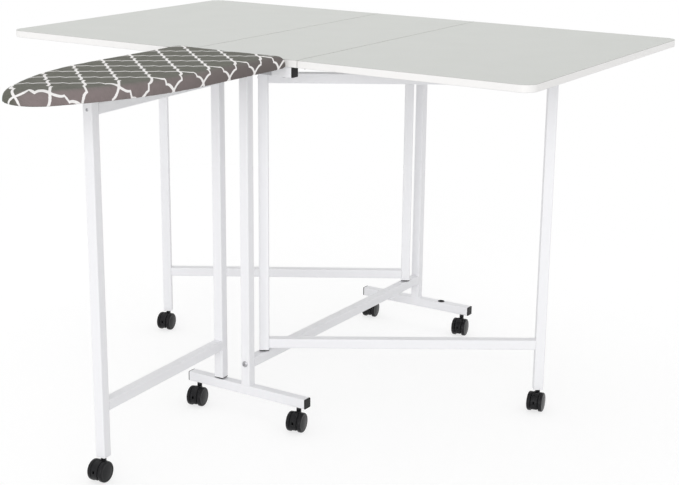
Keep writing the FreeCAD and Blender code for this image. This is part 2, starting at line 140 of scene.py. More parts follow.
def laminated_panel():
    finish, tree, shader, place = new_finish("grey laminate and white edge band")
    height = add(tree, "ShaderNodeSeparateXYZ", {"Vector": place}).outputs["Z"]
    flecks = spread(tree, grain(tree, place, 0.0018, 3.0), -0.6, 1.6)
    face = blended(tree, flecks, laminate_grey, laminate_fleck)
    line_height = panel_high.z - glue_line_depth
    on_face = calc(tree, "GREATER_THAN", height, line_height)
    in_line = calc(tree, "COMPARE", height, line_height, glue_line_width / 2)
    on_back = calc(tree, "LESS_THAN", height, panel_low.z + backing_thickness)
    smudge = spread(tree, grain(tree, place, 0.06, 4.0), 0.0, 0.05)
    band = blended(tree, smudge, band_white, glue_line_grey)
    colour = blended(tree, on_back, band, backing_white)
    colour = blended(tree, on_face, colour, face)
    colour = blended(tree, in_line, colour, glue_line_grey)
    surface(tree, shader, colour, spread(tree, grain(tree, place, 0.09, 5.0), 0.34, 0.44))
    shader.inputs["Specular IOR Level"].default_value = 0.42
    relief(tree, shader, grain(tree, place, 0.0014, 2.0), 0.00006, 0.6)
    return finish


dress(["centre_panel", "right_leaf", "left_leaf"], laminated_panel())


# ---- Steel tube ------------------------------------------------------------------------
# Every frame and gate is 25 mm square steel tube with a white powder coat, baked on. The
# coat keeps a faint orange-peel surface, and is thinner along the tube's corners.

powder_white = (0.895, 0.895, 0.915)
powder_shade = (0.86, 0.86, 0.885)
corner_pointiness = 0.53


def powder_coat():
    finish, tree, shader, place = new_finish("white powder coat")
    cloud = grain(tree, place, 0.05, 4.0)
    corner = add(tree, "ShaderNodeNewGeometry", {}).outputs["Pointiness"]
    edge = spread(tree, calc(tree, "GREATER_THAN", corner, corner_pointiness), 0.0, 0.25)
    share = calc(tree, "MAXIMUM", calc(tree, "MULTIPLY", cloud, 0.5), edge)
    surface(tree, shader, blended(tree, share, powder_white, powder_shade),
            spread(tree, grain(tree, place, 0.02, 3.0), 0.30, 0.42))
    shader.inputs["Specular IOR Level"].default_value = 0.45
    relief(tree, shader, grain(tree, place, 0.0022, 2.0, 0.4), 0.00008, 0.5)
    return finish


coat = powder_coat()
tube_ends = ("_foot", "_column", "_top_bar", "_beam", "_post", "_rail", "_leg")
dress([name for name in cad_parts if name.endswith(tube_ends)], coat)


# ---- Welds of the end frames -----------------------------------------------------------
# Each column is welded to its foot and its top bar by a short bead in the corner on both
# sides, coated with the tube. Where the tubes lie flush the bead is ground away.

def new_tree(name, sizes):
    """A Geometry Nodes tree with a named input for each size."""
    tree = bpy.data.node_groups.new(name, "GeometryNodeTree")
    tree.interface.new_socket("Geometry", in_out="INPUT", socket_type="NodeSocketGeometry")
    for label, value in sizes.items():
        kind = "NodeSocketInt" if isinstance(value, int) else "NodeSocketFloat"
        socket = tree.interface.new_socket(label, in_out="INPUT", socket_type=kind)
        socket.default_value = value
    tree.interface.new_socket("Geometry", in_out="OUTPUT", socket_type="NodeSocketGeometry")
    return tree, tree.nodes.new("NodeGroupInput").outputs


def end_tree(tree, instances, finish):
    """Last nodes of every tree: real faces with their finish."""
    real = add(tree, "GeometryNodeRealizeInstances", {"Geometry": instances})
    painted = add(tree, "GeometryNodeSetMaterial", {"Geometry": real.outputs[0],
                                                    "Material": finish})
    add(tree, "NodeGroupOutput", {"Geometry": painted.outputs[0]})


def placed(name, data):
    """An object of the data, in the scene."""
    made = bpy.data.objects.new(name, data)
    bpy.context.scene.collection.objects.link(made)
    return made


def baked(carrier):
    """Plain mesh of the carrier as its modifiers leave it, and no carrier."""
    graph = bpy.context.evaluated_depsgraph_get()
    mesh = bpy.data.meshes.new_from_object(carrier.evaluated_get(graph))
    bpy.data.objects.remove(carrier)
    return mesh


def grown(name, seed_data, tree, body, slot, **sizes):
    """Plain mesh that the tree grows on a mesh or curve, riding on its body."""
    carrier = placed(name + " carrier", seed_data)
    modifier = carrier.modifiers.new("tree", "NODES")
    modifier.node_group = tree
    for item in tree.interface.items_tree:
        if item.in_out == "INPUT" and item.name in sizes:
            modifier[item.identifier] = sizes[item.name]
    return finished(name, baked(carrier), body)


def finished(name, mesh, body, smooth_angle=35.0):
    """A piece at the origin, riding on its body, with its place in its mesh."""
    mesh.name = name
    mesh.shade_smooth()
    mesh.set_sharp_from_angle(angle=math.radians(smooth_angle))
    piece = placed(name, mesh)
    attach(piece, body)
    return piece


weld_radius = 0.0017
weld_pitch = 0.0019
weld_length = 0.019
weld_sink = 0.0004
weld_stand_off = 0.0003


def weld_tree():
    tree, sizes = new_tree("weld bead", {"Radius": weld_radius, "Pitch": weld_pitch,
                                         "Seed": 4})
    points = add(tree, "GeometryNodeResampleCurve", {
        "Curve": sizes["Geometry"], "Length": sizes["Pitch"]}, mode="LENGTH")
    ripple = add(tree, "GeometryNodeMeshIcoSphere", {"Radius": sizes["Radius"],
                                                     "Subdivisions": 2})
    size = add(tree, "FunctionNodeRandomValue", {2: 0.88, 3: 1.1, "Seed": sizes["Seed"]},
               data_type="FLOAT")
    beads = add(tree, "GeometryNodeInstanceOnPoints", {
        "Points": points.outputs[0], "Instance": ripple.outputs[0],
        "Scale": size.outputs[1]})
    end_tree(tree, beads.outputs[0], coat)
    return tree


def polylines(name, runs):
    """Curve of straight runs."""
    curve = bpy.data.curves.new(name, "CURVE")
    curve.dimensions = "3D"
    for run in runs:
        line = curve.splines.new("POLY")
        line.points.add(len(run) - 1)
        for point, place in zip(line.points, run):
            point.co = (*place, 1.0)
    return curve


def column_welds():
    runs = []
    for end in ("front", "back"):
        low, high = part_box(end + "_column")
        middle = (low.y + high.y) / 2
        for z in (low.z, high.z):
            inward = weld_sink if z == low.z else -weld_sink
            for x in (low.x - weld_stand_off, high.x + weld_stand_off):
                runs.append([(x, middle - weld_length / 2, z + inward),
                             (x, middle + weld_length / 2, z + inward)])
    return polylines("weld runs", runs)


grown("column_welds", column_welds(), weld_tree(), "frame", "white_powder_coat")


# ---- End caps, post plugs and bushes ---------------------------------------------------
# Black polypropylene caps are pressed into the open tube ends, and nylon bushes into the
# holes that the gates' pins turn in. Their moulds leave a fine spark-eroded grain.

cap_black = (0.009, 0.009, 0.010)
cap_scuff = (0.022, 0.022, 0.023)
bush_black = (0.014, 0.014, 0.014)


def moulded_plastic(name, colour, scuff, dull, grain_size):
    finish, tree, shader, place = new_finish(name)
    worn = spread(tree, grain(tree, place, 0.012, 4.0, 0.6), -0.5, 1.0)
    surface(tree, shader, blended(tree, worn, colour, scuff),
            spread(tree, grain(tree, place, 0.006, 3.0), dull - 0.06, dull + 0.08))
    shader.inputs["Specular IOR Level"].default_value = 0.2
    relief(tree, shader, grain(tree, place, grain_size, 2.0), 0.00005, 0.6)
    return finish


cap_plastic = moulded_plastic("black cap plastic", cap_black, cap_scuff, 0.42, 0.0005)
dress([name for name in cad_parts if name.endswith("_plugs")], cap_plastic)
dress(["pivot_bushes"],
      moulded_plastic("black bush nylon", bush_black, cap_scuff, 0.5, 0.0007))


# ---- Bolts of the frame and screws of the gates ----------------------------------------
# Zinc-plated button-head bolts with a hexagon socket clamp the beams to the end frames,
# and a smaller one draws each end of a gate's upper rail against its post or its leg.

zinc_light = (0.52, 0.52, 0.53)
zinc_dark = (0.32, 0.32, 0.34)
spangle_scale = 900.0


def zinc_plate():
    finish, tree, shader, place = new_finish("zinc-plated steel")
    spangle = add(tree, "ShaderNodeTexVoronoi", {"Vector": place,
                                                 "Scale": spangle_scale}).outputs[0]
    surface(tree, shader, blended(tree, spangle, zinc_light, zinc_dark),
            spread(tree, grain(tree, place, 0.003, 4.0), 0.24, 0.42))
    shader.inputs["Metallic"].default_value = 1.0
    relief(tree, shader, grain(tree, place, 0.0006, 2.0), 0.00002, 0.5)
    return finish


zinc = zinc_plate()
cross_taper = 0.45
cross_width = 0.3
dome_fall = 0.55
dome_power = 2.6
socket_level = 0.95
full_turn = 6.283


def drive_cutter(tree, sizes, drive):
    """What is cut from a head for its tool: a hexagon, or a cross of two tapered slots."""
    if drive == "hexagon":
        return add(tree, "GeometryNodeMeshCylinder", {
            "Vertices": 6, "Radius": sizes["Drive"], "Depth": sizes["Height"]}).outputs[0]
    slots = []
    for turn in (0.0, math.pi / 2):
        prism = add(tree, "GeometryNodeMeshCone", {
            "Vertices": 4, "Radius Top": sizes["Drive"],
            "Radius Bottom": calc(tree, "MULTIPLY", sizes["Drive"], cross_taper),
            "Depth": sizes["Height"]})
        flat = add(tree, "GeometryNodeTransform", {
            "Geometry": prism.outputs[0], "Rotation": (0.0, 0.0, turn)})
        slots.append(add(tree, "GeometryNodeTransform", {
            "Geometry": flat.outputs[0],
            "Scale": (1.0, cross_width, 1.0) if turn == 0.0
                     else (cross_width, 1.0, 1.0)}).outputs[0])
    both = add(tree, "GeometryNodeMeshBoolean", {}, operation="UNION")
    for slot in slots:
        tree.links.new(slot, both.inputs["Mesh 2"])
    return both.outputs[0]


def screw_tree(name, drive, finish):
    """Domed heads on the points of a mesh, each facing along its heading attribute."""
    tree, sizes = new_tree(name, {"Radius": 0.0075, "Height": 0.004, "Drive": 0.0026,
                                  "Seed": 11})
    blank = add(tree, "GeometryNodeMeshCylinder", {
        "Vertices": 28, "Side Segments": 2, "Fill Segments": 5, "Radius": sizes["Radius"],
        "Depth": sizes["Height"]})
    place = add(tree, "GeometryNodeInputPosition", {}).outputs[0]
    parts = add(tree, "ShaderNodeSeparateXYZ", {"Vector": place}).outputs
    out = calc(tree, "DIVIDE",
               calc(tree, "SQRT", calc(tree, "ADD", calc(tree, "POWER", parts["X"], 2.0),
                                       calc(tree, "POWER", parts["Y"], 2.0))),
               sizes["Radius"])
    dome = calc(tree, "SUBTRACT", 1.0, calc(
        tree, "MULTIPLY", calc(tree, "POWER", out, dome_power), dome_fall))
    level = calc(tree, "ADD", calc(tree, "DIVIDE", parts["Z"], sizes["Height"]), 0.5)
    rise = calc(tree, "MULTIPLY", calc(tree, "MULTIPLY", level, dome), sizes["Height"])
    target = add(tree, "ShaderNodeCombineXYZ", {"X": parts["X"], "Y": parts["Y"],
                                                "Z": rise})
    head = add(tree, "GeometryNodeSetPosition", {"Geometry": blank.outputs[0],
                                                 "Position": target.outputs[0]})
    lift = add(tree, "ShaderNodeCombineXYZ", {
        "Z": calc(tree, "MULTIPLY", sizes["Height"], socket_level)})
    cutter = add(tree, "GeometryNodeTransform", {
        "Geometry": drive_cutter(tree, sizes, drive), "Translation": lift.outputs[0]})
    cut = add(tree, "GeometryNodeMeshBoolean", {"Mesh 1": head.outputs[0],
                                                "Mesh 2": cutter.outputs[0]},
              operation="DIFFERENCE")
    heading = add(tree, "GeometryNodeInputNamedAttribute", {"Name": "heading"},
                  data_type="FLOAT_VECTOR")
    facing = add(tree, "FunctionNodeAlignRotationToVector", {"Vector": heading.outputs[0]},
                 axis="Z")
    turn = add(tree, "FunctionNodeRandomValue", {
        2: 0.0, 3: full_turn, "Seed": sizes["Seed"]}, data_type="FLOAT")
    spin = add(tree, "FunctionNodeAxisAngleToRotation", {"Axis": (0.0, 0.0, 1.0),
                                                         "Angle": turn.outputs[1]})
    turned = add(tree, "FunctionNodeRotateRotation", {
        "Rotation": facing.outputs[0], "Rotate By": spin.outputs[0]}, rotation_space="LOCAL")
    heads = add(tree, "GeometryNodeInstanceOnPoints", {
        "Points": sizes["Geometry"], "Instance": cut.outputs[0],
        "Rotation": turned.outputs[0]})
    end_tree(tree, heads.outputs[0], finish)
    return tree


def points_with_headings(name, places):
    """Mesh of loose points, each with the direction that its fastener faces."""
    mesh = bpy.data.meshes.new(name)
    mesh.from_pydata([place for place, heading in places], [], [])
    headings = mesh.attributes.new("heading", "FLOAT_VECTOR", "POINT")
    for index, (place, heading) in enumerate(places):
        headings.data[index].vector = heading
    return mesh


button_head = screw_tree("button head", "hexagon", zinc)
cross_head = screw_tree("pan head", "cross", zinc)

lower_bolt_z = sum(corner.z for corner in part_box("lower_beam")) / 2
upper_bolt_z = sum(corner.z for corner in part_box("upper_beam")) / 2
front_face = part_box("front_column")[0].y
back_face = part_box("back_column")[1].y
bolts = [((0.0, face, z), (0, heading, 0))
         for face, heading in ((front_face, -1), (back_face, 1))
         for z in (lower_bolt_z, upper_bolt_z)]
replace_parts(grown("beam_bolts", points_with_headings("beam bolts", bolts), button_head,
                  "frame", "zinc_plated_steel"), "frame_bolts")

panel_screw_reach = 0.111
bar_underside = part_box("front_top_bar")[0].z
panel_screws = [((side * panel_screw_reach, sum(c.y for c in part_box(end + "_top_bar")) / 2,
                  bar_underside), (0, 0, -1))
                for end in ("front", "back") for side in (-1, 1)]
grown("panel_screws", points_with_headings("panel screws", panel_screws), cross_head,
      "frame", "zinc_plated_steel", Radius=0.006, Height=0.003, Drive=0.0032)

tube_half = 0.0125


def rail_screws(gate):
    """Screws through the outer faces of the post and the leg into the upper rail."""
    ends = []
    for piece in ("post", "leg"):
        low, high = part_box(gate + "_" + piece)
        ends.append(Vector(((low.x + high.x) / 2, (low.y + high.y) / 2, 0)))
    along = (ends[1] - ends[0]).normalized()
    low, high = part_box(gate + "_upper_rail")
    height = Vector((0, 0, (low.z + high.z) / 2))
    return [(ends[0] - along * tube_half + height, -along),
            (ends[1] + along * tube_half + height, along)]


for gate in ("right_gate", "left_gate", "ironing_gate"):
    grown(gate + "_rail_screws", points_with_headings(gate, rail_screws(gate)), button_head,
          gate, "zinc_plated_steel", Radius=0.0034, Height=0.0016, Drive=0.0022)


# ---- Hinges ----------------------------------------------------------------------------
# Zinc-plated butt hinges of folded sheet under both seams and at the board's blunt end,
# each wing held by two cross-head screws.

dress([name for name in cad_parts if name.endswith("_hinge_wings")], zinc)

seam_x = 0.1562
wing_face = 0.903
table_middle = 0.36125
screw_out = 0.015
screw_apart = 0.018
stations = (-0.385, 0.060, 0.385)
board_pin = Vector((-0.027, -0.08775, 0.9015))
board_screw_out = 0.012
board_hinge_reach = 0.08
wing_thickness = 0.0015


def seam_screws(side, out):
    """Screws of one row of wings, on the given side of the table's middle."""
    return [((side * (seam_x + out), table_middle + side * station + shift, wing_face),
             (0, 0, -1))
            for station in stations for shift in (-screw_apart, screw_apart)]


board_screw_x = [board_pin.x + hinge + shift
                 for hinge in (-board_hinge_reach, board_hinge_reach)
                 for shift in (-screw_apart, screw_apart)]
hinge_screws = {
    "frame": seam_screws(1, -screw_out) + seam_screws(-1, -screw_out)
             + [((x, board_pin.y + wing_thickness, board_pin.z - board_screw_out),
                 (0, -1, 0)) for x in board_screw_x],
    "right_leaf": seam_screws(1, screw_out),
    "left_leaf": seam_screws(-1, screw_out),
    "ironing_board": [((x, board_pin.y - board_screw_out, wing_face), (0, 0, -1))
                      for x in board_screw_x]}
for body, places in hinge_screws.items():
    grown(body + "_hinge_screws", points_with_headings(body, places), cross_head, body,
          "zinc_plated_steel", Radius=0.0038, Height=0.0011, Drive=0.0021)


# ---- Ironing board deck ----------------------------------------------------------------
# Fibreboard cut to the board's outline. The cover is drawn round its edge and held under
# it, in a shallow step that keeps the hem level with the board's underside.

pad_low, pad_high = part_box("ironing_board_pad")
board_middle = (pad_low.x + pad_high.x) / 2
board_half = (pad_high.x - pad_low.x) / 2
board_length = pad_high.y - pad_low.y
nose_length = 0.400
nose_radius = 0.076
blunt_corner = 0.026
sharpest_corner = 0.002


def arc(centre, radius, start, end, spacing):
    """Places and outward directions along an arc, without its last point."""
    count = max(2, math.ceil(abs(end - start) * radius / spacing))
    made = []
    for index in range(count):
        angle = start + (end - start) * index / count
        out = Vector((math.cos(angle), math.sin(angle)))
        made.append((centre + out * radius, out))
    return made


def line(start, end, out, spacing):
    count = max(1, math.ceil((end - start).length / spacing))
    return [(start.lerp(end, index / count), out) for index in range(count)]


def board_edge(inset, spacing):
    """Places and outward directions along the board's outline, moved in by inset."""
    half = board_half - inset
    shoulder = nose_length - board_length
    nose = nose_radius - inset
    tip = inset - board_length
    rise = shoulder - tip
    flank = (half ** 2 + rise ** 2 - 2 * rise * nose) / (2 * (half - nose))
    flank_centre = Vector((half - flank, shoulder))
    nose_centre = Vector((0.0, tip + nose))
    lean = math.atan2(nose_centre.y - flank_centre.y, nose_centre.x - flank_centre.x)
    corner = max(blunt_corner - inset, sharpest_corner)
    corner_centre = Vector((half - corner, -inset - corner))
    right = line(Vector((0.0, -inset)), Vector((half - corner, -inset)),
                 Vector((0, 1)), spacing)
    right += arc(corner_centre, corner, math.pi / 2, 0.0, spacing)
    right += line(Vector((half, -inset - corner)), Vector((half, shoulder)),
                  Vector((1, 0)), spacing)
    right += arc(flank_centre, flank, 0.0, lean, spacing)
    right += arc(nose_centre, nose, lean, -math.pi / 2, spacing)
    right.append((Vector((0.0, tip)), Vector((0, -1))))
    left = [(Vector((-p.x, p.y)), Vector((-n.x, n.y))) for p, n in right[-2:0:-1]]
    shift = Vector((board_middle, pad_high.y))
    return [(p + shift, n) for p, n in right + left]


def ringed(name, rings, looped=False):
    """Closed mesh through rings of equal length: capped at both ends, or a looped band."""
    mesh = bpy.data.meshes.new(name)
    count = len(rings[0])
    verts = [place for ring in rings for place in ring]
    faces = []
    for level in range(len(rings) if looped else len(rings) - 1):
        above = (level + 1) % len(rings)
        for index in range(count):
            after = (index + 1) % count
            faces.append((level * count + index, level * count + after,
                          above * count + after, above * count + index))
    if not looped:
        faces.append(tuple(range(count))[::-1])
        faces.append(tuple(range((len(rings) - 1) * count, len(rings) * count)))
    mesh.from_pydata(verts, [], faces)
    shape = bmesh.new()
    shape.from_mesh(mesh)
    bmesh.ops.recalc_face_normals(shape, faces=shape.faces)
    shape.to_mesh(mesh)
    shape.free()
    return mesh


def rings_of(profile, spacing):
    """One ring of the board's outline for each (inset, height) of the profile."""
    base = board_edge(0.0, spacing)
    return [[(p.x - n.x * inset, p.y - n.y * inset, height) for p, n in base]
            for inset, height in profile]


deck_low, deck_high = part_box("ironing_board_deck")
hem_step = 0.0014
hem_reach = 0.030
step_gap = 0.0015
step_slope = 0.0005
deck_inset = 0.0083
deck_bevel = 0.001
deck_spacing = 0.012
face_white = (0.74, 0.74, 0.72)
fibre_brown = (0.30, 0.205, 0.125)
fibre_pale = (0.40, 0.29, 0.185)
least_upward = 0.9


def faced_board():
    finish, tree, shader, place = new_finish("white-faced fibreboard")
    fibres = add(tree, "ShaderNodeMapping", {"Vector": place, "Scale": (1.0, 4.0, 6.0)})
    strands = grain(tree, fibres.outputs[0], 0.004, 6.0, 0.7)
    sawn = blended(tree, strands, fibre_brown, fibre_pale)
    up = add(tree, "ShaderNodeSeparateXYZ", {
        "Vector": add(tree, "ShaderNodeNewGeometry", {}).outputs["Normal"]}).outputs["Z"]
    flat = calc(tree, "GREATER_THAN", calc(tree, "ABSOLUTE", up), least_upward)
    surface(tree, shader, blended(tree, flat, sawn, face_white),
            spread(tree, grain(tree, place, 0.05, 4.0), 0.42, 0.6))
    relief(tree, shader, grain(tree, place, 0.0012, 5.0, 0.7), 0.00006, 0.5)
    return finish


step_z = deck_low.z + hem_step
deck_mesh = ringed("deck", rings_of(
    [(hem_reach + step_gap + step_slope, deck_low.z), (hem_reach + step_gap, step_z),
     (deck_inset + deck_bevel, step_z), (deck_inset, step_z + deck_bevel),
     (deck_inset, deck_high.z - deck_bevel), (deck_inset + deck_bevel, deck_high.z)],
    deck_spacing))
deck_mesh.materials.append(faced_board())
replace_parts(finished("ironing_board_panel", deck_mesh, "ironing_board"),
            "ironing_board_deck")


# ---- Padded cover ----------------------------------------------------------------------
# A felt and foam pad under a cotton cover, printed with a white trellis on grey. The
# cover is pulled down over the rim, so the print runs on over the sides, and gathers
# towards the hem round the nose.

pad_rim = 0.018
rim_arc = pad_rim * math.pi / 2
pad_side = 0.0078
fold_radius = 0.004
pocket_gap = 0.0003
pocket_lift = 0.0006
blank_inset = 0.0012
blank_lift = 0.0004
blank_drop = 0.0014
fold_steps = 4
rim_steps = 6
voxel_size = 0.005
outline_spacing = 0.006


def pad_blank():
    """The pad before it swells: top, rim, side, turned-in fold, and the deck's pocket."""
    profile = [(pad_side, deck_high.z + pocket_gap), (pad_side, pad_low.z + pocket_lift)]
    for index in range(fold_steps + 1):
        angle = -math.pi / 2 + index * math.pi / 2 / fold_steps
        profile.append((blank_inset + fold_radius * (1 - math.cos(angle)),
                        pad_low.z + blank_lift + fold_radius * (1 + math.sin(angle))))
    top = pad_high.z - blank_drop
    for index in range(rim_steps + 1):
        angle = index * math.pi / 2 / rim_steps
        profile.append((blank_inset + pad_rim * (1 - math.cos(angle)),
                        top - pad_rim * (1 - math.sin(angle))))
    return ringed("pad blank", rings_of(profile, outline_spacing))


def remeshed(mesh):
    carrier = placed("remesh carrier", mesh)
    modifier = carrier.modifiers.new("voxels", "REMESH")
    modifier.mode = "VOXEL"
    modifier.voxel_size = voxel_size
    return baked(carrier)


held_height = 0.002
swell_steps = 20
swell_reach = 0.0028


def swell(mesh):
    """Inflate the outer skin as cloth, moving no point further than the reach."""
    carrier = placed("cloth carrier", mesh)
    held = carrier.vertex_groups.new(name="held")
    held.add([v.index for v in mesh.vertices if v.co.z < pad_low.z + held_height],
             1.0, "REPLACE")
    cloth = carrier.modifiers.new("cloth", "CLOTH")
    cloth.settings.quality = 5
    cloth.settings.mass = 0.25
    cloth.settings.tension_stiffness = 18.0
    cloth.settings.compression_stiffness = 12.0
    cloth.settings.shear_stiffness = 6.0
    cloth.settings.bending_stiffness = 0.6
    cloth.settings.use_pressure = True
    cloth.settings.uniform_pressure_force = 4.0
    cloth.settings.vertex_group_mass = "held"
    cloth.settings.effector_weights.gravity = 0.0
    cloth.collision_settings.use_collision = False
    scene = bpy.context.scene
    for step in range(1, swell_steps + 1):
        scene.frame_set(step)
    moved = baked(carrier)
    for before, after in zip(mesh.vertices, moved.vertices):
        shift = after.co - before.co
        if shift.length > swell_reach:
            after.co = before.co + shift * (swell_reach / shift.length)
    scene.frame_set(1)
    return moved


edge_pitch = 0.001
edge_points = board_edge(0.0, edge_pitch)
edge_tree = kdtree.KDTree(len(edge_points))
for index, (place, out) in enumerate(edge_points):
    edge_tree.insert((place.x, place.y, 0.0), index)
edge_tree.balance()


def nearest_edge(co):
    """Nearest place on the board's outline, its direction, and how far inside co lies."""
    index = edge_tree.find((co.x, co.y, 0.0))[1]
    place, out = edge_points[index]
    return index, place, out, (place - Vector((co.x, co.y))).dot(out)


gather_depth = 0.0007
gather_pitch = 0.019
gather_reach = 0.02
gather_start = 0.004
gather_onset = 0.15
gather_flank = 0.25
gather_sway = 3.0
gather_wander = 21


def gathered(mesh):
    """Draw the side into soft folds towards the hem, deeper round the nose."""
    for vertex in mesh.vertices:
        index, place, out, inside = nearest_edge(vertex.co)
        below = pad_high.z - gather_start - vertex.co.z
        if inside > gather_reach or below < 0.0:
            continue
        down = min(1.0, below / gather_reach)
        to_nose = pad_high.y - nose_length * 0.8 - vertex.co.y
        nose = max(0.0, min(1.0, to_nose / gather_onset))
        run = index * edge_pitch
        sway = gather_sway * noise.noise((run * gather_wander, 0, 0))
        wave = math.sin(2 * math.pi * run / gather_pitch + sway)
        push = wave * gather_depth * down ** 2 * (gather_flank + (1 - gather_flank) * nose)
        vertex.co.x += out.x * push
        vertex.co.y += out.y * push
    return mesh


slip_runs = (-0.040, -0.026, -0.014, -0.004, 0.006, 0.016, 0.026, 0.038)
slip_flank = ((0.0, 0.0), (-0.0051, 0.0045), (-0.0094, 0.0111), (-0.0143, 0.0178),
              (-0.0179, 0.0250), (-0.0173, 0.0313), (-0.0161, 0.0371), (-0.0144, 0.0414))
slip_nose = ((0.0, 0.0), (-0.0034, 0.0044), (-0.0091, 0.0118), (-0.0143, 0.0184),
             (-0.0184, 0.0237), (-0.0203, 0.0262), (-0.0203, 0.0262), (-0.0203, 0.0262))
nose_turn = (0.1, 0.5)
room_side = Vector((0.532, -0.846))
room_turn = (-0.3, 0.4)
# Painted light: within these insets of the edge, the cover's rim and side that face this way
# are painted lighter, as if lit by the front lamp.
painted_light_facing = Vector((0.9, -0.44))
painted_light_turn = (0.3, 0.75)
painted_light_depth = (-0.038, -0.006)


def eased(value, low, high):
    share = max(0.0, min(1.0, (value - low) / (high - low)))
    return share * share * (3.0 - 2.0 * share)


def slipped(run, out):
    """How far the print has crept as the cloth was pulled over the rim."""
    run = max(slip_runs[0], min(slip_runs[-1], run))
    index = max(i for i in range(len(slip_runs) - 1) if slip_runs[i] <= run)
    share = (run - slip_runs[index]) / (slip_runs[index + 1] - slip_runs[index])
    flank, nose = (Vector(table[index]).lerp(Vector(table[index + 1]), share)
                   for table in (slip_flank, slip_nose))
    return (flank.lerp(nose, eased(-out.y, *nose_turn))
            * eased(out.dot(room_side), *room_turn))


def cloth_place(place, out, run):
    """Where a point of the cover lies in the flat cloth, run past the rim's start."""
    return place + out * (run - pad_rim) + slipped(run, out)


def lay_flat(mesh):
    """UV map in metres of the flat cloth: the top as it lies, the sides folded out."""
    layer = mesh.uv_layers.new(name="flat cloth")
    painted_light_share = mesh.attributes.new("painted_light_share", "FLOAT", "POINT")
    rim_level = pad_high.z - pad_rim
    flat = []
    for vertex in mesh.vertices:
        co = vertex.co
        place, out, inside = nearest_edge(co)[1:]
        # Share of painted light: 1 on the rim and side that face the front lamp, 0 on the
        # top.
        painted_light_share.data[vertex.index].value = (eased(-inside, *painted_light_depth)
                                          * eased(out.dot(painted_light_facing), *painted_light_turn))
        if inside >= pad_rim and co.z > rim_level:
            spot = Vector((co.x, co.y)) + slipped(pad_rim - inside, out)
        elif co.z > rim_level:
            angle = math.atan2(max(pad_rim - inside, 0.0), co.z - rim_level)
            spot = cloth_place(place, out, pad_rim * min(angle, math.pi / 2))
        else:
            spot = cloth_place(place, out, rim_arc + rim_level - co.z
                               + max(0.0, inside - fold_radius))
        flat.append((spot.x, spot.y))
    for loop in mesh.loops:
        layer.data[loop.index].uv = flat[loop.vertex_index]
    return mesh


trellis_origin = (-0.0428, -0.5030)
trellis_first = (0.0594, 0.0419)
trellis_second = (0.0572, -0.0521)
trellis_line = 0.0059
trellis_blend = 0.0022
ink_edge = 0.0003
ogee = ((0.0, 0.0), (0.08, 0.02), (0.16, 0.026), (0.24, 0.018), (0.34, -0.03),
        (0.42, -0.12))
ogee_notch = 0.08
cloth_grey = (0.154, 0.155, 0.130)
cloth_dark = (0.104, 0.105, 0.086)
# Painted light on the lit side of the cover: a lighter, purplish grey, palest towards the
# nose where the lamp falls strongest, with some mottle.
painted_light_grey = (0.155, 0.134, 0.130)
painted_light_pale = (0.258, 0.214, 0.212)
painted_light_mottle = 0.22
painted_light_run = (-0.22, -0.72)
print_white = (0.93, 0.91, 0.90)
thread_pitch = 0.0007
thread_shadow = (0.35, 0.35, 0.35)
thread_share = 0.16


def trellis(tree, flat):
    """1 on the printed lines and 0 between them."""
    (ax, ay), (bx, by) = trellis_first, trellis_second
    area = ax * by - ay * bx
    centred = add(tree, "ShaderNodeVectorMath", {0: flat, 1: (*trellis_origin, 0.0)},
                  operation="SUBTRACT").outputs[0]
    along = [add(tree, "ShaderNodeVectorMath", {0: centred, 1: row},
                 operation="DOT_PRODUCT").outputs["Value"]
             for row in ((by / area, -bx / area, 0.0), (-ay / area, ax / area, 0.0))]
    pitches = [abs(area) / math.hypot(bx, by), abs(area) / math.hypot(ax, ay)]
    marks = []
    for across, run, pitch in ((along[0], along[1], pitches[0]),
                               (along[1], along[0], pitches[1])):
        bend = add(tree, "ShaderNodeFloatCurve", {"Value": calc(tree, "FRACT", run)})
        shape_ogee(bend.mapping.curves[0])
        bend.mapping.update()
        offset = calc(tree, "MULTIPLY", calc(tree, "SUBTRACT", bend.outputs[0], 0.5), 0.5)
        away = calc(tree, "PINGPONG", calc(tree, "SUBTRACT", across, offset), 0.5)
        marks.append(calc(tree, "MULTIPLY", away, pitch))
    nearest = calc(tree, "SMOOTH_MIN", marks[0], marks[1], trellis_blend)
    return add(tree, "ShaderNodeMapRange", {
        "Value": nearest, "From Min": trellis_line / 2 + ink_edge,
        "From Max": trellis_line / 2 - ink_edge}).outputs[0]


def shape_ogee(curve):
    """Side of a cell from one crossing to the next, with its notch in the middle."""
    points = [(x, 0.5 + y) for x, y in ogee]
    points += [(1 - x, 0.5 - y) for x, y in ogee[::-1]]
    curve.points[0].location = points[0]
    curve.points[1].location = points[-1]
    for place in points[1:-1]:
        curve.points.new(*place)
    for point in curve.points:
        if abs(abs(point.location[0] - 0.5) - ogee_notch) < 0.001:
            point.handle_type = "VECTOR"


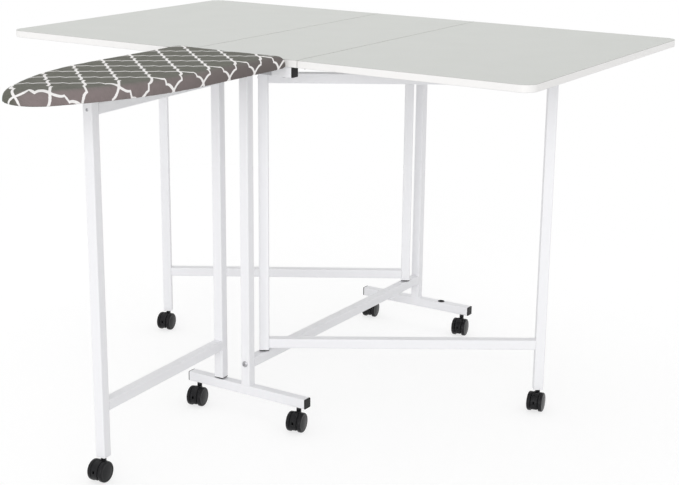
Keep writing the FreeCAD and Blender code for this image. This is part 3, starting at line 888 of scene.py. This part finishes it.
def printed_cotton():
    finish, tree, shader, place = new_finish("printed cotton cover")
    flat = add(tree, "ShaderNodeUVMap", {}, uv_map="flat cloth").outputs[0]
    slubs = add(tree, "ShaderNodeMapping", {"Vector": flat, "Scale": (1.0, 5.0, 1.0)})
    mottle = calc(tree, "ADD", spread(tree, grain(tree, place, 0.03, 5.0, 0.6), -0.9, 0.7),
                  spread(tree, grain(tree, slubs.outputs[0], 0.012, 4.0, 0.65), -0.8, 1.8))
    ground = blended(tree, mottle, cloth_grey, cloth_dark)
    # Painted light on the rim and side that face the front lamp, lighter towards the nose.
    along = add(tree, "ShaderNodeSeparateXYZ", {"Vector": place}).outputs["Y"]
    to_nose = add(tree, "ShaderNodeMapRange", {
        "Value": along, "From Min": painted_light_run[0], "From Max": painted_light_run[1]}).outputs[0]
    painted_light_share = add(tree, "ShaderNodeAttribute", {}, attribute_name="painted_light_share").outputs["Fac"]
    painted_light = blended(tree, to_nose, painted_light_grey, painted_light_pale)
    painted_light = blended(tree, calc(tree, "MULTIPLY", mottle, painted_light_mottle),
                     painted_light, cloth_dark)
    ground = blended(tree, painted_light_share, ground, painted_light)
    printed = trellis(tree, flat)
    parts = add(tree, "ShaderNodeSeparateXYZ", {"Vector": flat}).outputs
    warp, weft = (calc(tree, "SINE", calc(tree, "MULTIPLY", parts[axis],
                                          2 * math.pi / thread_pitch)) for axis in "XY")
    weave = spread(tree, calc(tree, "MULTIPLY", warp, weft), 0.35, 0.65)
    colour = blended(tree, printed, ground, print_white)
    shade = add(tree, "ShaderNodeMix", {
        "Factor": calc(tree, "MULTIPLY", weave, thread_share)},
        data_type="RGBA", blend_type="MULTIPLY")
    tree.links.new(colour, shade.inputs[6])
    shade.inputs[7].default_value = (*thread_shadow, 1.0)
    surface(tree, shader, shade.outputs[2], spread(tree, weave, 0.72, 0.86))
    shader.inputs["Specular IOR Level"].default_value = 0.15
    shader.inputs["Sheen Weight"].default_value = 0.03
    shader.inputs["Sheen Roughness"].default_value = 0.5
    relief(tree, shader, weave, 0.00015, 0.5)
    return finish


cotton = printed_cotton()
seat_lift = 0.0003
seat_drop = 0.0001
side_depth = 0.006
side_level = 0.011
side_band = 0.003
side_gap = 0.0004
push_fade = 0.05
fold_square = 0.008
fold_power = 5
fold_grow = 0.0022
edge_gap = 0.0002


def reseated(mesh):
    """Draw the skin back out to the board's size, and square its lower fold."""
    skin = [(vertex, *nearest_edge(vertex.co)[2:]) for vertex in mesh.vertices]
    lowest = min(vertex.co.z for vertex in mesh.vertices)
    highest = max(vertex.co.z for vertex in mesh.vertices)
    target = pad_low.z + seat_lift
    stretch = (pad_high.z - seat_drop - target) / (highest - lowest)
    insets = sorted(inside for vertex, out, inside in skin if inside < side_depth
                    and abs(vertex.co.z - pad_low.z - side_level) < side_band)
    gap = insets[len(insets) // 2] - side_gap
    for vertex, out, inside in skin:
        vertex.co.z = target + (vertex.co.z - lowest) * stretch
        push = gap * max(0.0, 1.0 - inside / push_fade)
        across = fold_square - (inside - push)
        down = fold_square - (vertex.co.z - target)
        if across > 0.0 and down > 0.0:
            round_size = math.hypot(across, down)
            square_size = (across ** fold_power + down ** fold_power) ** (1 / fold_power)
            grow = min(round_size / square_size, 1.0 + fold_grow / round_size)
            push += across * (grow - 1.0)
            vertex.co.z = max(target, vertex.co.z - down * (grow - 1.0))
        push = min(push, inside - edge_gap)
        vertex.co.x += out.x * push
        vertex.co.y += out.y * push
    return mesh


skin_height = 0.003
smoothing_passes = 3


def padded_cover():
    mesh = remeshed(pad_blank())
    mesh = swell(mesh)
    shape = bmesh.new()
    shape.from_mesh(mesh)
    outer = [v for v in shape.verts if v.co.z > pad_low.z + skin_height]
    for step in range(smoothing_passes):
        bmesh.ops.smooth_vert(shape, verts=outer, factor=0.5, use_axis_x=True,
                              use_axis_y=True, use_axis_z=True)
    shape.to_mesh(mesh)
    shape.free()
    carrier = placed("subdivision carrier", gathered(reseated(mesh)))
    rounding = carrier.modifiers.new("round", "SUBSURF")
    rounding.levels = rounding.render_levels = 1
    made = baked(carrier)
    made.materials.clear()
    made.materials.append(cotton)
    return lay_flat(made)


cover = finished("padded_cover", padded_cover(), "ironing_board", 180.0)
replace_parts(cover, "ironing_board_pad")


# ---- Hem under the board ---------------------------------------------------------------
# The cover turns under the deck and ends in a hem, stitched down over a cord that gathers
# it. It lies in a shallow step of the deck, level with the deck's underside.

hem_inner = 0.029
hem_cord = 0.0265
hem_seam = 0.0235
hem_fold_pitch = 0.0085
hem_fold_height = 0.00022
hem_sway = 2.5
hem_wander = 30
hem_spacing = 0.0022
hem_profile = ((0.004, 0.0006), (0.010, 0.0003), (0.017, 0.0003), (0.022, 0.0004),
               (hem_seam, 0.0006), (hem_cord - 0.0018, 0.0003), (hem_cord, 0.0001),
               (hem_cord + 0.0018, 0.0003), (hem_inner, 0.0006), (hem_inner, 0.0010),
               (hem_cord, 0.0013), (hem_seam, 0.0010), (0.014, 0.0010), (0.004, 0.0011))


def hem_wave(run, inset):
    """Rise of the hem's gathers above the deck's underside, deeper towards the cord."""
    sway = hem_sway * noise.noise((run * hem_wander, 3, 0))
    wave = math.sin(2 * math.pi * run / hem_fold_pitch + sway)
    return hem_fold_height * (inset / hem_inner) ** 1.5 * (1.0 + wave)


def turned_hem():
    base = board_edge(0.0, hem_spacing)
    side_run = rim_arc + pad_high.z - pad_rim - pad_low.z
    rings, flat = [], []
    for inset, height in hem_profile:
        ring = []
        for index, (place, out) in enumerate(base):
            lift = height + hem_wave(index * hem_spacing, inset)
            ring.append((place.x - out.x * inset, place.y - out.y * inset,
                         pad_low.z + lift))
            flat.append(cloth_place(place, out, side_run + inset))
        rings.append(ring)
    mesh = ringed("hem", rings, looped=True)
    layer = mesh.uv_layers.new(name="flat cloth")
    for loop in mesh.loops:
        layer.data[loop.index].uv = flat[loop.vertex_index]
    mesh.materials.append(cotton)
    return mesh


finished("cover_hem", turned_hem(), "ironing_board", 60.0)
thread_white = (0.70, 0.70, 0.68)
thread_stripe_grey = (0.55, 0.55, 0.53)
stitch_lift = 0.00035


def sewing_thread():
    finish, tree, shader, place = new_finish("sewing thread")
    # The thread is darker in stripes that run along its twist.
    twist = add(tree, "ShaderNodeTexWave", {"Vector": place, "Scale": 700.0,
                                            "Distortion": 1.5}).outputs[1]
    tree.links.new(blended(tree, twist, thread_white, thread_stripe_grey),
                   shader.inputs["Base Color"])
    shader.inputs["Roughness"].default_value = 0.6
    relief(tree, shader, twist, 0.00005, 0.6)
    return finish


def stitch_tree(finish):
    """Stitches laid end to end along a curve."""
    tree, sizes = new_tree("stitches", {"Pitch": 0.0036, "Length": 0.0024,
                                        "Thickness": 0.0004, "Seed": 5})
    points = add(tree, "GeometryNodeCurveToPoints", {
        "Curve": sizes["Geometry"], "Length": sizes["Pitch"]}, mode="LENGTH")
    thread = add(tree, "GeometryNodeMeshIcoSphere", {"Radius": 0.5, "Subdivisions": 1})
    vary = add(tree, "FunctionNodeRandomValue", {2: 0.9, 3: 1.08, "Seed": sizes["Seed"]},
               data_type="FLOAT").outputs[1]
    size = add(tree, "ShaderNodeCombineXYZ", {
        "X": sizes["Thickness"], "Y": sizes["Thickness"],
        "Z": calc(tree, "MULTIPLY", sizes["Length"], vary)})
    laid = add(tree, "GeometryNodeInstanceOnPoints", {
        "Points": points.outputs["Points"], "Instance": thread.outputs[0],
        "Rotation": points.outputs["Rotation"], "Scale": size.outputs[0]})
    end_tree(tree, laid.outputs[0], finish)
    return tree


seam_line = rings_of([(hem_seam, pad_low.z + stitch_lift)], outline_spacing)[0]
grown("hem_stitches", polylines("seam line", [seam_line + seam_line[:1]]),
      stitch_tree(sewing_thread()), "ironing_board", "patterned_cover")


# ---- Casters ---------------------------------------------------------------------------
# Twin nylon wheels on a blind axle, either side of a hood that swivels on the stem. The
# hood and the wheels are black, with a satin skin off the mould, and the stem is blacked
# steel.

nylon_black = (0.008, 0.008, 0.009)
nylon_scuff = (0.013, 0.013, 0.015)
caster_nylon = moulded_plastic("black caster nylon", nylon_black, nylon_scuff, 0.30, 0.0009)
dress([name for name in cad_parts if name.endswith(("_hood", "_wheel"))], caster_nylon)
stem_black = (0.018, 0.018, 0.020)
stem_rubbed = (0.09, 0.09, 0.095)


def blacked_steel():
    finish, tree, shader, place = new_finish("blacked steel")
    worn = spread(tree, grain(tree, place, 0.004, 5.0, 0.6), -0.6, 0.9)
    surface(tree, shader, blended(tree, worn, stem_black, stem_rubbed),
            spread(tree, grain(tree, place, 0.002, 3.0), 0.28, 0.46))
    shader.inputs["Metallic"].default_value = 0.6
    relief(tree, shader, grain(tree, place, 0.0005, 2.0), 0.00002, 0.5)
    return finish


dress([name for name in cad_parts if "caster_stem" in name], blacked_steel())


# ---- Studio ----------------------------------------------------------------------------
# A large matt floor, pale enough to keep only the table's shadow, in an even white room
# with one soft lamp overhead and one in front. None of it belongs to the table.

lamp_white = (1.0, 1.0, 1.0, 1.0)
room_strength = 0.74


def seen_directly(tree):
    """1 for a ray from the camera, straight, mirrored or let through, and 0 for others."""
    path = add(tree, "ShaderNodeLightPath", {}).outputs
    return calc(tree, "MAXIMUM", calc(tree, "MAXIMUM", path["Is Camera Ray"],
                                      path["Is Glossy Ray"]), path["Is Transmission Ray"])


def new_world():
    world = bpy.data.worlds.new("studio")
    world.use_nodes = True
    tree = world.node_tree
    plain = tree.nodes["Background"]
    plain.inputs["Color"].default_value = lamp_white
    plain.inputs["Strength"].default_value = room_strength
    seen = add(tree, "ShaderNodeBackground", {"Color": lamp_white, "Strength": 1.0})
    mixed = add(tree, "ShaderNodeMixShader", {0: seen_directly(tree), 1: plain.outputs[0],
                                              2: seen.outputs[0]})
    tree.links.new(mixed.outputs[0], tree.nodes["World Output"].inputs["Surface"])
    bpy.context.scene.world = world


floor_colour = (0.86, 0.86, 0.86, 1.0)
floor_reach = 12.0
white_from = 1.2
white_to = 2.8
white_share = 0.62
shadow_lift = 0.27


def new_floor():
    finish, tree, shader, place = new_finish("pale floor")
    shader.inputs["Base Color"].default_value = floor_colour
    shader.inputs["Roughness"].default_value = 0.9
    shader.inputs["Specular IOR Level"].default_value = 0.1
    direct = seen_directly(tree)
    away = add(tree, "ShaderNodeVectorMath", {0: place},
               operation="LENGTH").outputs["Value"]
    white = add(tree, "ShaderNodeMapRange", {
        "Value": away, "From Min": white_from, "From Max": white_to,
        "To Min": white_share, "To Max": 1.0}).outputs[0]
    glow = add(tree, "ShaderNodeEmission", {"Color": lamp_white, "Strength": 1.0})
    lift = add(tree, "ShaderNodeEmission", {
        "Color": lamp_white, "Strength": calc(tree, "MULTIPLY", direct, shadow_lift)})
    lifted = add(tree, "ShaderNodeAddShader", {0: shader.outputs[0], 1: lift.outputs[0]})
    mixed = add(tree, "ShaderNodeMixShader", {
        0: calc(tree, "MULTIPLY", direct, white), 1: lifted.outputs[0],
        2: glow.outputs[0]})
    tree.links.new(mixed.outputs[0], tree.nodes["Material Output"].inputs["Surface"])
    mesh = bpy.data.meshes.new("floor")
    corners = [(x * floor_reach, y * floor_reach, 0)
               for x, y in ((-1, -1), (1, -1), (1, 1), (-1, 1))]
    mesh.from_pydata(corners, [], [(0, 1, 2, 3)])
    mesh.materials.append(finish)
    floor = placed("floor", mesh)


def soft_lamp(name, kind, place, target, power):
    data = bpy.data.lights.new(name, kind)
    data.energy = power
    lamp = placed(name, data)
    lamp.location = place
    aim = Vector(target) - Vector(place)
    lamp.rotation_euler = aim.to_track_quat("-Z", "Y").to_euler()
    return data


new_world()
new_floor()
overhead = soft_lamp("overhead", "AREA", (-0.6, 0.2, 3.6), (0, 0.1, 0.4), 12)
overhead.shape = "SQUARE"
overhead.size = 3.0
front = soft_lamp("front", "SUN", (1.6, -4.0, 1.7), (0, 0, 0.8), 1.2)
front.angle = math.radians(45)

camera_place = (2.013883, -2.84555, 1.428153)
camera_yaw = math.radians(32.180)
camera_pitch = math.radians(15.798)
camera_roll = math.radians(0.593)
sensor_width = 36.0
focal_pixels = 1446.05
picture_width = 679
forward = Vector((-math.sin(camera_yaw) * math.cos(camera_pitch),
                  math.cos(camera_yaw) * math.cos(camera_pitch), -math.sin(camera_pitch)))
level_right = Vector((math.cos(camera_yaw), math.sin(camera_yaw), 0.0))
level_up = level_right.cross(forward)
right = math.cos(camera_roll) * level_right + math.sin(camera_roll) * level_up
upward = right.cross(forward)
camera_data = bpy.data.cameras.new("camera")
camera_data.sensor_fit = "HORIZONTAL"
camera_data.sensor_width = sensor_width
camera_data.lens = sensor_width * focal_pixels / picture_width
camera = placed("camera", camera_data)
turn = Matrix((right, upward, -forward)).transposed().to_4x4()
camera.matrix_world = Matrix.Translation(camera_place) @ turn
bpy.context.scene.camera = camera
bpy.context.scene.view_settings.view_transform = "Standard"
